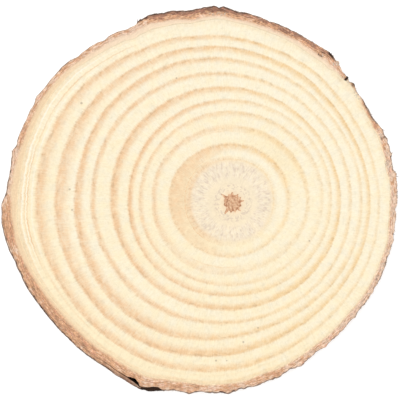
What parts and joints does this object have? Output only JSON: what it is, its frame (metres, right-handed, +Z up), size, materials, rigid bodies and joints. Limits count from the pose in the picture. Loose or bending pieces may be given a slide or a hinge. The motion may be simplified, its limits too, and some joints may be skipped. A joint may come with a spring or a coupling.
{
  "type": "wood slice",
  "caption": "Thin cross-cut slice of a young pine stem: pale sawn faces with off-centre growth rings and a thin rough bark edge.",
  "frame": {"origin": "middle of the underside's bounding box, on the surface the slice lies on", "axes": "+Z up through the thickness, along the stem; +X towards the thinner side, where the pith is nearest the bark"},
  "size_m": [0.1006, 0.0986, 0.01],
  "materials": {
    "wood": "bare, sawn and dried, matte",
    "bark": "rough, flaky, matte"
  },
  "bodies": {
    "root": {"wood_slice": "wood"}
  },
  "joints": []
}
